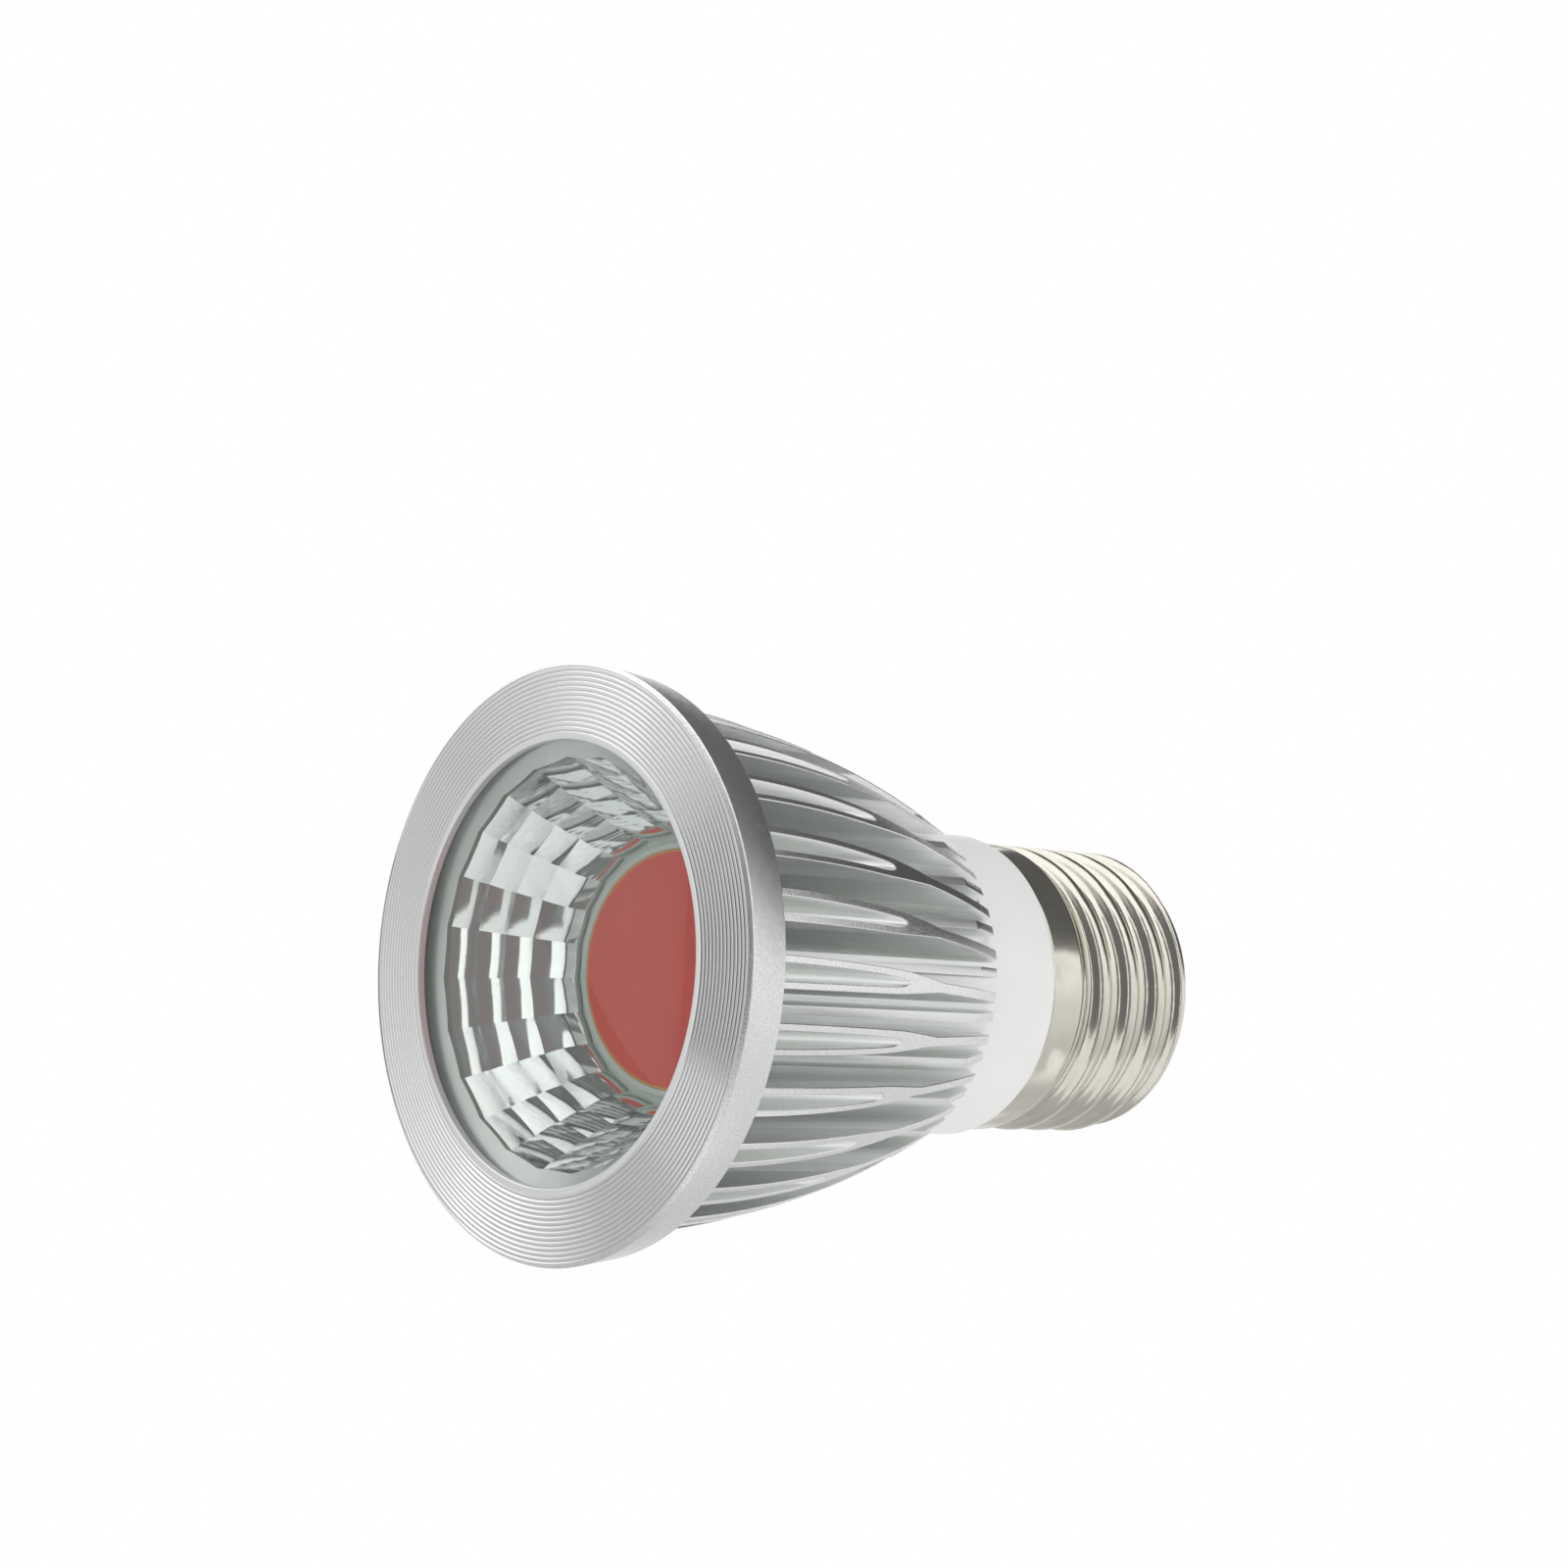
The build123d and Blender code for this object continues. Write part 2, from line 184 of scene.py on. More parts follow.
def make_mesh(name, grids):
    """Mesh of several grids. Each is (points, loop_rows, loop_columns, material), with points in millimetres of
    shape (rows, columns, 3) or (copies, rows, columns, 3)."""
    points, faces, finishes, start = [], [], [], 0
    for grid, loop_rows, loop_columns, finish in grids:
        grid = grid if grid.ndim == 4 else grid[None]
        copies, rows, columns, _ = grid.shape
        one = quads(rows, columns, loop_rows, loop_columns)
        several = one[None] + (np.arange(copies) * rows * columns)[:, None, None] + start
        points.append(grid.reshape(-1, 3) * MM)
        faces.append(several.reshape(-1, 4))
        finishes.append(np.full(len(one) * copies, finish))
        start += grid.shape[0] * rows * columns
    points, faces, finishes = np.concatenate(points), np.concatenate(faces), np.concatenate(finishes)
    mesh = bpy.data.meshes.new(name)
    mesh.vertices.add(len(points))
    mesh.vertices.foreach_set("co", points.astype(np.float32).ravel())
    mesh.loops.add(faces.size)
    mesh.loops.foreach_set("vertex_index", faces.astype(np.int32).ravel())
    mesh.polygons.add(len(faces))
    mesh.polygons.foreach_set("loop_start", np.arange(len(faces), dtype=np.int32) * 4)
    mesh.polygons.foreach_set("material_index", finishes.astype(np.int32))
    mesh.update(calc_edges=True)
    return mesh


def face_outwards(mesh, join=0.0):
    """Turns every face of closed surfaces outwards, once points that lie within join metres are one, which
    closes seams and poles."""
    body = bmesh.new()
    body.from_mesh(mesh)
    if join:
        bmesh.ops.remove_doubles(body, verts=body.verts, dist=join)
    bmesh.ops.recalc_face_normals(body, faces=body.faces)
    body.to_mesh(mesh)
    body.free()


def add_piece(name, mesh, materials, nodes, crease=30.0):
    """Puts a mesh in the scene as a piece that rides on the lamp and stands for some CAD nodes."""
    for material in materials:
        mesh.materials.append(material)
    mesh.shade_smooth()
    if crease:
        mesh.set_sharp_from_angle(angle=radians(crease))
    piece = bpy.data.objects.new(name, mesh)
    bpy.context.scene.collection.objects.link(piece)
    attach(piece, "root")
    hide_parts(*nodes)


def turn(profile, columns):
    """Grid of a profile (radius, height) carried round Z: (r cos t, r sin t, h) for evenly spaced t."""
    angle = np.arange(columns) * 2 * pi / columns
    radius, height = np.asarray(profile, float).T[:, :, None]
    return np.stack([radius * np.cos(angle), radius * np.sin(angle), height + 0 * angle], axis=-1)


def soften(corners, cut, steps=4, closed=True):
    """Polygon with each corner c replaced by the curve (1-t)^2 a + 2t(1-t) c + t^2 b, where a and b lie cut away
    from c on its two sides, and no further than 0.45 of a side."""
    corners = np.asarray(corners, float)
    before, after = np.roll(corners, 1, axis=0) - corners, np.roll(corners, -1, axis=0) - corners
    size_before, size_after = (np.linalg.norm(v, axis=1, keepdims=True) for v in (before, after))
    reach = np.minimum(np.broadcast_to(np.asarray(cut, float), len(corners))[:, None], 0.45 * size_before)
    reach = np.minimum(reach, 0.45 * size_after)
    if not closed:
        reach[[0, -1]] = 0
    a, b = corners + before / size_before * reach, corners + after / size_after * reach
    t = np.linspace(0, 1, steps + 1)[None, :, None]
    curve = (1 - t) ** 2 * a[:, None] + 2 * t * (1 - t) * corners[:, None] + t**2 * b[:, None]
    curve = curve.reshape(-1, 2)
    keep = np.r_[True, np.linalg.norm(np.diff(curve, axis=0), axis=1) > 1e-6]
    return curve[keep]


def lathe_piece(name, profile, material, nodes, columns=256, closed=True, crease=30.0):
    """Turned piece from a profile. A closed one is a ring round the axis, another starts and ends on the axis."""
    mesh = make_mesh(name, [(turn(profile, columns), closed, True, 0)])
    face_outwards(mesh, JOIN)
    add_piece(name, mesh, [material], nodes, crease)


def smoothstep(x):
    """Zero below 0, one above 1, and x^2 (3 - 2x) between them."""
    x = np.clip(x, 0, 1)
    return x * x * (3 - 2 * x)


# Materials


def reach_from_axis(tree):
    """Each point's distance from the lamp's axis, and the node that splits its place into X, Y and Z."""
    place = add(tree, "ShaderNodeTexCoord").outputs["Object"]
    split = add(tree, "ShaderNodeSeparateXYZ", {0: place})
    flat = add(tree, "ShaderNodeCombineXYZ", {0: split.outputs["X"], 1: split.outputs["Y"]})
    reach = add(tree, "ShaderNodeVectorMath", {0: flat.outputs[0]}, operation="LENGTH")
    return reach.outputs["Value"], split


def turned_face_aluminium(colour, pitch):
    """Aluminium face turned in one fine spiral: bright satin metal, drawn out round the axis, with painted shade
    that darkens its colour towards the bottom of the groove. The lighter colour's share is
    (1 - cos(2 pi (p - GROOVE_BOTTOM)))/2, with p as in ring_points."""
    material, tree, principled = new_material(
        "aluminium, face-turned", Base_Color=colour, Metallic=1.0, Roughness=0.19, Anisotropic=0.2
    )
    tangent = add(tree, "ShaderNodeTangent", direction_type="RADIAL", axis="Z")
    tree.links.new(tangent.outputs[0], principled.inputs["Tangent"])
    bump(tree, principled, grain(tree, 0.12).outputs["Fac"], 0.004)
    reach, split = reach_from_axis(tree)
    angle = add(tree, "ShaderNodeMath", {0: split.outputs["Y"], 1: split.outputs["X"]}, operation="ARCTAN2")
    start = -2 * pi * (GROOVE_START * MM / pitch + GROOVE_BOTTOM)
    carried = add(tree, "ShaderNodeMath", {0: reach, 1: 2 * pi / pitch, 2: start}, operation="MULTIPLY_ADD")
    phase = add(tree, "ShaderNodeMath", {0: carried.outputs[0], 1: angle.outputs[0]}, operation="SUBTRACT")
    wave = add(tree, "ShaderNodeMath", {0: phase.outputs[0]}, operation="COSINE")
    share = add(tree, "ShaderNodeMath", {0: wave.outputs[0], 1: -0.5, 2: 0.5}, operation="MULTIPLY_ADD")
    # Painted shade: the base colour darkens towards the groove's bottom, following the spiral's phase
    mottled(tree, principled, colour, 0.16, share.outputs[0])
    return material


def turned_side_aluminium(colour):
    """Aluminium rim turned and lightly blasted: satin, with a sparkle of fine pits."""
    material, tree, principled = new_material(
        "aluminium, blasted side", Base_Color=colour, Metallic=1.0, Roughness=0.27
    )
    fine = grain(tree, 0.11, detail=3.0)
    bump(tree, principled, fine.outputs["Fac"], 0.03)
    mottled(tree, principled, colour, 0.22, grain(tree, 0.16).outputs["Fac"])
    return material


def bored_aluminium(colour):
    """Bore of the ring's lip, left as the boring tool cut it: a hazy, even grey with no clear reflection."""
    material, tree, principled = new_material(
        "aluminium, bored", Base_Color=colour, Metallic=0.55, Roughness=0.3
    )
    bump(tree, principled, grain(tree, 0.2).outputs["Fac"], 0.003)
    return material


def clear_cover():
    """Clear polished cover: the eye sees only its edge and a faint reflection. Lamps shine through it."""
    material, tree, principled = new_material(
        "acrylic, polished clear", Base_Color=linear("FCFEFD"), Roughness=0.0, IOR=1.49,
        Transmission_Weight=1.0, Specular_IOR_Level=0.25,
    )
    output = tree.nodes["Material Output"]
    path = add(tree, "ShaderNodeLightPath")
    through = add(tree, "ShaderNodeBsdfTransparent", {"Color": linear("F6F9F8")})
    mix = add(
        tree, "ShaderNodeMixShader",
        {0: path.outputs["Is Shadow Ray"], 1: principled.outputs[0], 2: through.outputs[0]},
    )
    tree.links.new(mix.outputs[0], output.inputs["Surface"])
    return material


def metallised_plastic(colour):
    """Moulded plastic with vacuum-deposited aluminium: a bright mirror with a trace of orange peel."""
    material, tree, principled = new_material(
        "aluminium film on moulded plastic", Base_Color=colour, Metallic=1.0, Roughness=0.06
    )
    bump(tree, principled, grain(tree, 0.9).outputs["Fac"], 0.004)
    return material


def metallised_rim(colour):
    """The same film on the shallow rim, which is textured under the cover: an even greenish grey sheen."""
    material, tree, principled = new_material(
        "aluminium film on textured rim", Base_Color=colour, Metallic=0.85, Roughness=0.3
    )
    bump(tree, principled, grain(tree, 0.15).outputs["Fac"], 0.01)
    return material


def phosphor_gel(colour, edge):
    """Silicone gel filled with phosphor: matte, with a faint grain of settled powder, and amber where it thins
    out at the dam."""
    material, tree, principled = new_material(
        "silicone with phosphor powder", Base_Color=colour, Roughness=0.55, IOR=1.42, Specular_IOR_Level=0.3
    )
    fine = grain(tree, 0.16, detail=3.0)
    mottled(tree, principled, colour, 0.08, fine.outputs["Fac"])
    body = principled.inputs["Base Color"].links[0].from_socket
    reach, _ = reach_from_axis(tree)
    thin = {"From Min": (DAM_BORE - 0.25) * MM, "From Max": (DAM_BORE - 0.13) * MM}
    share = add(tree, "ShaderNodeMapRange", {"Value": reach, **thin})
    mix = add(tree, "ShaderNodeMix", {0: share.outputs["Result"], 6: body, 7: edge}, data_type="RGBA")
    tree.links.new(mix.outputs[2], principled.inputs["Base Color"])
    bump(tree, principled, fine.outputs["Fac"], 0.01)
    return material


def extruded_aluminium(colour):
    """Extruded aluminium wall: grey satin with fine die lines along the lamp's axis."""
    material, tree, principled = new_material(
        "aluminium, extruded", Base_Color=colour, Metallic=1.0, Roughness=0.4
    )
    lines = grain(tree, 0.18, stretch=(1, 1, 60), detail=4.0, roughness=0.6)
    bump(tree, principled, lines.outputs["Fac"], 0.02)
    mottled(tree, principled, colour, 0.14, lines.outputs["Fac"])
    return material


def lathe_cut_aluminium(colour):
    """Fin edges cut on a lathe: bright metal with fine lines round the axis and a dusting of tool speckle."""
    material, tree, principled = new_material(
        "aluminium, lathe cut", Base_Color=colour, Metallic=1.0, Roughness=0.22
    )
    place = add(tree, "ShaderNodeTexCoord").outputs["Object"]
    split = add(tree, "ShaderNodeSeparateXYZ", {0: place})
    # One tool line each 0.16 mm of height
    feed = add(tree, "ShaderNodeMath", {0: split.outputs["Z"], 1: 2 * pi / (0.16 * MM)}, operation="MULTIPLY")
    wave = add(tree, "ShaderNodeMath", {0: feed.outputs[0]}, operation="SINE")
    speckle = grain(tree, 0.16, detail=2.0)
    both = {0: wave.outputs[0], 1: 0.25, 2: speckle.outputs["Fac"]}
    height = add(tree, "ShaderNodeMath", both, operation="MULTIPLY_ADD")
    bump(tree, principled, height.outputs[0], 0.012)
    mottled(tree, principled, colour, 0.3, speckle.outputs["Fac"])
    return material


def white_moulding(colour):
    """Glass-filled PBT, moulded in white: soft gloss over a faint spark-erosion texture."""
    material, tree, principled = new_material("PBT, moulded white", Base_Color=colour, Roughness=0.38, IOR=1.56)
    bump(tree, principled, grain(tree, 0.3, detail=3.0).outputs["Fac"], 0.006)
    mottled(tree, principled, colour, 0.02, grain(tree, 4.0).outputs["Fac"])
    return material


def rolled_nickel(colour):
    """Nickel-plated brass sheet with a rolled thread: warm bright metal, slightly uneven from the rolling."""
    material, tree, principled = new_material(
        "nickel plate on rolled brass", Base_Color=colour, Metallic=1.0, Roughness=0.18
    )
    marks = grain(tree, 0.5, stretch=(1, 1, 0.25), detail=3.0)
    bump(tree, principled, marks.outputs["Fac"], 0.007)
    mottled(tree, principled, colour, 0.08, grain(tree, 2.2).outputs["Fac"])
    return material


def plain_finish(name, colour, metallic=0.0, roughness=0.5, grain_mm=0.5, depth_mm=0.005, amount=0.06):
    """Finish of a small piece: its colour, a hex code or linear, with a grain of that size and depth."""
    colour = linear(colour) if isinstance(colour, str) else colour
    material, tree, principled = new_material(name, Base_Color=colour, Metallic=metallic, Roughness=roughness)
    fine = grain(tree, grain_mm)
    mottled(tree, principled, colour, amount, fine.outputs["Fac"])
    bump(tree, principled, fine.outputs["Fac"], depth_mm)
    return material


# Shapes


def ring_points(pitch, depth):
    """The front ring: its closed profile carried round Z, with one spiral groove cut in the face.
    With p the fraction of (r - GROOVE_START)/pitch - t/2pi and b short for GROOVE_BOTTOM, the cut is
    depth * smoothstep(p/b) up to p = b and depth * smoothstep((1 - p)/(1 - b)) beyond, so its outer wall is the
    shallow one. It fades out in the first and last 0.15 mm of the face."""
    columns, face_rows, fade_width = 440, 160, 0.15
    face_in, face_out, face_rise = RING_BORE + 0.55, RING_RADIUS - 0.35, 0.16
    spigot_seat, cover_seat = SPIGOT_RADIUS + 0.05, COVER_RADIUS + 0.05
    angle = np.arange(columns) * 2 * pi / columns
    outline = soften(
        [(face_out, face_rise), (RING_RADIUS, 0.44), (RING_RADIUS - 0.55, RING_REAR), (spigot_seat, RING_REAR),
         (spigot_seat, SINK_FRONT), (cover_seat, SINK_FRONT), (cover_seat, COVER_FRONT),
         (RING_BORE, COVER_FRONT), (RING_BORE, 0.1), (RING_BORE + 0.1, 0), (face_in, 0)],
        [0, 0.12, 0.15, 0.08, 0.05, 0.05, 0.05, 0.08, 0.04, 0.06, 0], closed=False,
    )
    radius = np.linspace(face_in, face_out, face_rows + 2)[1:-1]
    phase = ((radius[:, None] - GROOVE_START) / pitch - angle / (2 * pi)) % 1
    falling, rising = smoothstep(phase / GROOVE_BOTTOM), smoothstep((1 - phase) / (1 - GROOVE_BOTTOM))
    fade = smoothstep((radius - face_in) / fade_width) * smoothstep((face_out - radius) / fade_width)
    cut = depth * np.where(phase < GROOVE_BOTTOM, falling, rising) * fade[:, None]
    level = face_rise * (radius - face_in) / (face_out - face_in)
    return turn(outline, columns), polar(radius[:, None], angle, level[:, None] + cut)


def facet_points(turned, across, down):
    """The reflector's facets, rows of points round the axis: sides that bulge inwards by 0.0045 r (1 - u^2), with
    u from -1 to 1 across a facet. Down each facet but the first, v from 0 to 1, the slope leaves the chord by
    turned (0.5 - v), so the facet is an arc that stands turned v (1 - v)/2 of its length over the chord. The
    first is a plain wall below the rim."""
    mouth, first_facet = (17.2, 2.6), (17.2, 3.2)
    rings = np.array(
        [mouth, first_facet, (15.58, 5.16), (14.02, 6.99), (12.62, 8.69), (11.3, 10.2), (BOWL_END, BOWL_REAR)]
    )
    v = np.linspace(0, 1, down + 1)
    offset = (np.arange(len(rings) - 1) > 0)[:, None, None] * (turned * v * (1 - v) / 2)[None, :, None]
    step = np.diff(rings, axis=0)[:, None, :]
    # The chord turned by a right angle, towards the axis and the front
    beside = np.stack([-step[..., 1], step[..., 0]], axis=-1)
    meridian = (rings[:-1, None, :] + v[None, :, None] * step + offset * beside)[:, :-1].reshape(-1, 2)
    meridian = np.concatenate([meridian, rings[-1:]])
    u = np.arange(FACETS * across) / across
    side = np.floor(u)
    share = u - side
    first = FACET_PHASE + side * 2 * pi / FACETS
    second = first + 2 * pi / FACETS
    middle = first + pi / FACETS
    bulge = 0.0045 * (1 - (2 * share - 1) ** 2)
    radius, level = meridian.T[:, :, None]
    x, y = (
        radius * ((1 - share) * turn_of(first) + share * turn_of(second) - bulge * turn_of(middle))
        for turn_of in (np.cos, np.sin)
    )
    return np.stack([x, y, level + 0 * x], axis=-1)


def bell_circle():
    """Centre and radius of the circle through the turned outline's front, middle and rear, from the linear
    equations 2 x0 r + 2 z0 z + (R^2 - x0^2 - z0^2) = r^2 + z^2. The middle's radius is BELL_BULGE more than
    halfway between the others."""
    middle = (SINK_RADIUS + BELL_REAR_RADIUS) / 2 + BELL_BULGE, (RING_REAR + SINK_REAR) / 2
    three = np.array([(SINK_RADIUS, RING_REAR), middle, (BELL_REAR_RADIUS, SINK_REAR)])
    system = np.column_stack([2 * three, np.ones(3)])
    x0, z0, rest = np.linalg.solve(system, (three**2).sum(axis=1))
    return x0, z0, np.sqrt(rest + x0**2 + z0**2)


def bell_level(radius):
    """Height of the turned outline at a radius: z0 + sqrt(R^2 - (r - x0)^2), and the rear face further in."""
    x0, z0, size = bell_circle()
    level = z0 + np.sqrt(size**2 - (radius - x0) ** 2)
    return np.where(radius < BELL_REAR_RADIUS, SINK_REAR, np.clip(level, RING_REAR, SINK_REAR))


def foot_level(radius):
    """Lower end of the fins: on the pocket's cone, flat from its mouth to the spigot, and on the ring beyond."""
    share = np.clip((POCKET_MOUTH - radius) / (POCKET_MOUTH - POCKET_RADIUS), 0, 1)
    return np.where(radius > SPIGOT_RADIUS, RING_REAR, SINK_FRONT + share * (POCKET_REAR - SINK_FRONT))


def fork_walls(rows):
    """Angles of a fork's four walls at each radius in rows: outer low, valley low, valley high, outer high. They
    are drawn in the fork's own plane, leaned by 10 degrees about (FORK_RADIUS, 0), and read in polar form. The
    trunk widens at a shoulder. The valley starts in an arc and leaves the branches 0.6 mm wide at their ends."""
    end, end_half, trunk_half, shoulder_half = 25.0, 1.816, 0.425, 0.97
    valley_centre, valley_radius, valley_half = 20.72, 0.42, end_half - 0.6
    x = np.linspace(12.5, end, 500)
    half = np.interp(x, [18.95, 20.4, end], [trunk_half, shoulder_half, end_half])
    bend = np.linspace(0, pi / 2, 24)
    line = np.linspace(0, 1, 200)[1:]
    valley_x = np.r_[valley_centre - valley_radius * np.cos(bend), valley_centre + line * (end - valley_centre)]
    valley_y = np.r_[valley_radius * np.sin(bend), valley_radius + line * (valley_half - valley_radius)]
    lean = radians(-10)
    angles = []
    for px, py in ((x, -half), (valley_x, -valley_y), (valley_x, valley_y), (x, half)):
        rx = FORK_RADIUS + (px - FORK_RADIUS) * np.cos(lean) - py * np.sin(lean)
        ry = (px - FORK_RADIUS) * np.sin(lean) + py * np.cos(lean)
        order = np.argsort(np.hypot(rx, ry))
        angles.append(np.interp(rows, np.hypot(rx, ry)[order], np.arctan2(ry, rx)[order]))
    return angles


def polar(radius, angle, level):
    """Points (r cos t, r sin t, z) of broadcast arrays of radius, angle and level."""
    radius, angle, level = np.broadcast_arrays(radius, angle, level)
    return np.stack([radius * np.cos(angle), radius * np.sin(angle), level], axis=-1)


def copies_round(grid, turns):
    """Copies of a grid turned about Z by each angle."""
    c, s = np.cos(turns)[:, None, None], np.sin(turns)[:, None, None]
    x, y, z = grid[..., 0], grid[..., 1], grid[..., 2]
    return np.stack([x * c - y * s, x * s + y * c, z + 0 * c], axis=-1)


def fork_grids(edge):
    """The forked fins: the section of a fork lifted to the turned outline. Each half of a fork is a strip between
    its outer wall and its valley, or its middle line before the valley. Its edges are broken by the width edge,
    except where the outline runs out on the ring."""
    x0, z0, size = bell_circle()
    levels = np.linspace(RING_REAR, SINK_REAR, 64)
    curved = x0 + np.sqrt(size**2 - (levels - z0) ** 2)
    # Close rows where the valley starts, and on both sides of the step from the spigot to the ring
    at_split = [FORK_RADIUS + away for away in (-0.005, 0, 0.04, 0.15)]
    rows = np.sort(np.r_[FIN_ROOT, 15.0, curved, at_split, SPIGOT_RADIUS, SPIGOT_RADIUS + 0.0001])
    outer_low, valley_low, valley_high, outer_high = fork_walls(rows)
    top, low = bell_level(rows), foot_level(rows)
    on_rear_face = rows < BELL_REAR_RADIUS
    slope_r = np.where(on_rear_face, 0.0, (rows - x0) / size)
    slope_z = np.where(on_rear_face, 1.0, (top - z0) / size)
    split = rows >= FORK_RADIUS
    middle = (outer_low + outer_high) / 2
    breaks = edge / rows
    turns = np.arange(FORKS) * 2 * pi / FORKS
    grids = []
    for wall, valley, side in ((outer_low, valley_low, 1), (outer_high, valley_high, -1)):
        inner = np.where(split, valley, middle)
        columns = np.stack(
            [wall, wall + side * breaks, (wall + inner) / 2, inner - side * breaks, inner], axis=1
        )
        sunk = np.stack([np.ones_like(rows), 0 * rows, 0 * rows, 0 * rows, split * 1.0], axis=1) * edge
        sunk = sunk * (top > low + 1e-6)[:, None]
        radius = rows[:, None] - sunk * slope_r[:, None]
        level = np.maximum(top[:, None] - sunk * slope_z[:, None], low[:, None])
        upper = polar(radius, columns, level)
        under = polar(rows[:, None], columns, low[:, None])
        outer_wall = np.stack([upper[:, 0], under[:, 0]], axis=1)
        valley_wall = np.stack([upper[split][:, 4], under[split][:, 4]], axis=1)
        end = np.stack([upper[0], under[0]])
        for grid, finish in ((upper, 0), (under, 1), (outer_wall, 1), (valley_wall, 1), (end, 1)):
            grids.append((copies_round(grid, turns), False, False, finish))
    return grids


def rib_grids():
    """The short ribs between the forks: strips 0.8 mm wide, lifted to the turned outline, their edges broken."""
    half_width, flat_half, edge_drop = 0.4, 0.35, 0.05
    x = np.array([FIN_ROOT, BELL_REAR_RADIUS, 15.6, 15.9, 16.2, 16.5, TUBE_RADIUS + 2])[:, None]
    y = np.array([-half_width, -flat_half, 0, flat_half, half_width])[None, :]
    radius = np.hypot(x, y)
    drop = edge_drop * (np.abs(y) > flat_half)
    upper = np.stack(np.broadcast_arrays(x, y, bell_level(radius) - drop), axis=-1)
    under = np.stack(np.broadcast_arrays(x, y, foot_level(radius)), axis=-1)
    turns = np.arange(FORKS) * 2 * pi / FORKS + radians(9.209)
    grids = [(upper, 0), (under, 1)]
    grids += [(np.stack([upper[:, k], under[:, k]], axis=1), 1) for k in (0, -1)]
    grids += [(np.stack([upper[k], under[k]]), 1) for k in (0, -1)]
    return [(copies_round(grid, turns), False, False, finish) for grid, finish in grids]


def shell_points(crimp_depth):
    """The screw shell: its outside as radius over angle t and height z, then its end and inside as a profile. The
    band has ten soft dents crimp_depth exp(-s^2/1.2^2), s the distance to a dent's middle. In the thread, with w
    the distance along the pitch to the nearest crest, r = mean + sqrt(arc^2 - w^2) - sqrt(arc^2 - (pitch/4)^2)
    up to a quarter pitch and the same upside down about the next root, faded in and out at the ends."""
    columns, pitch, arc, mean = 400, 3.629, 1.05, 12.58
    shoulder, thread, thread_end = SHELL_FRONT + 3.4, SHELL_FRONT + 4.4, SHELL_FRONT + 17.7
    first_crest, dent_level, dent_size = SHELL_FRONT + 6.87, SHELL_FRONT + 1.4, 1.2
    dent_gap, dent_phase = 36, 7
    angle = np.arange(columns) * 2 * pi / columns
    levels = np.r_[
        SHELL_FRONT + np.r_[0, 0.03, np.linspace(0.1, 2.5, 25), 2.9, 3.3],
        np.linspace(shoulder, thread, 9), np.linspace(thread + 0.1, thread_end, 120),
    ]
    base = mean + (SHELL_RADIUS - mean) * (1 - smoothstep((levels - shoulder) / (thread - shoulder)))
    # The front edge is broken by 0.06 mm
    base = base - 0.06 * np.clip(1 - (levels - SHELL_FRONT) / 0.06, 0, 1)
    ramp = np.minimum(1, np.minimum((levels - thread) / 1.2, (thread_end - levels) / 0.8))
    crest = (angle / (2 * pi) - (levels[:, None] - first_crest) / pitch + 0.5) % 1 - 0.5
    away = np.abs(crest) * pitch
    near = np.minimum(away, pitch / 2 - away)
    rise = np.sqrt(arc**2 - near**2) - np.sqrt(arc**2 - (pitch / 4) ** 2)
    radius = base[:, None] + smoothstep(ramp)[:, None] * np.where(away < pitch / 4, rise, -rise)
    aside = (np.degrees(angle) + dent_phase + dent_gap / 2) % dent_gap - dent_gap / 2
    across = np.radians(aside) * SHELL_RADIUS
    radius = radius - crimp_depth * np.exp(-(across**2 + (levels[:, None] - dent_level) ** 2) / dent_size**2)
    rolled_end = [
        (12.55, 64.12), (12.45, 64.32), (12.3, 64.5), (12.1, 64.65), (11.85, 64.78), (11.6, 64.84),
        (11.3, SHELL_REAR), (11.05, SHELL_REAR), (10.95, 64.8), (SHELL_END, 64.7), (SHELL_END, 64.5),
    ]
    inside = [(11.6, 64.5), (11.66, 64.3), (11.66, 50.9), (12.7, 49.8), (12.7, SHELL_FRONT)]
    return np.concatenate([polar(radius, angle[None, :], levels[:, None]), turn(rolled_end + inside, columns)])


# Sizes and colours that a user may change


class LampSizes(bpy.types.PropertyGroup):
    groove_pitch: FloatProperty(
        name="Groove pitch", description="Feed of the spiral turned in the ring's face",
        default=0.418 * MM, min=0.1 * MM, max=2 * MM, precision=6, subtype="DISTANCE", unit="LENGTH",
    )
    groove_depth: FloatProperty(
        name="Groove depth", description="Depth of that spiral",
        default=0.1 * MM, min=0, max=0.2 * MM, precision=6, subtype="DISTANCE", unit="LENGTH",
    )
    facet_turn: FloatProperty(
        name="Facet turn", description="Angle between the outer and the inner end of a reflector facet",
        default=radians(17), min=0, max=radians(40), subtype="ANGLE", unit="ROTATION",
    )
    edge_break: FloatProperty(
        name="Fin edge break", description="Width of the broken edges of the fins",
        default=0.06 * MM, min=0.01 * MM, max=0.12 * MM, precision=6, subtype="DISTANCE", unit="LENGTH",
    )
    crimp_depth: FloatProperty(
        name="Crimp depth", description="Depth of the dents that hold the shell on the collar",
        default=0.14 * MM, min=0.05 * MM, max=0.35 * MM, precision=6, subtype="DISTANCE", unit="LENGTH",
    )


def colour_property(name, description, code):
    """Colour that a user may change, with a hex code as its default."""
    return FloatVectorProperty(
        name=name, description=description, default=linear(code), size=4, min=0, max=1, subtype="COLOR"
    )


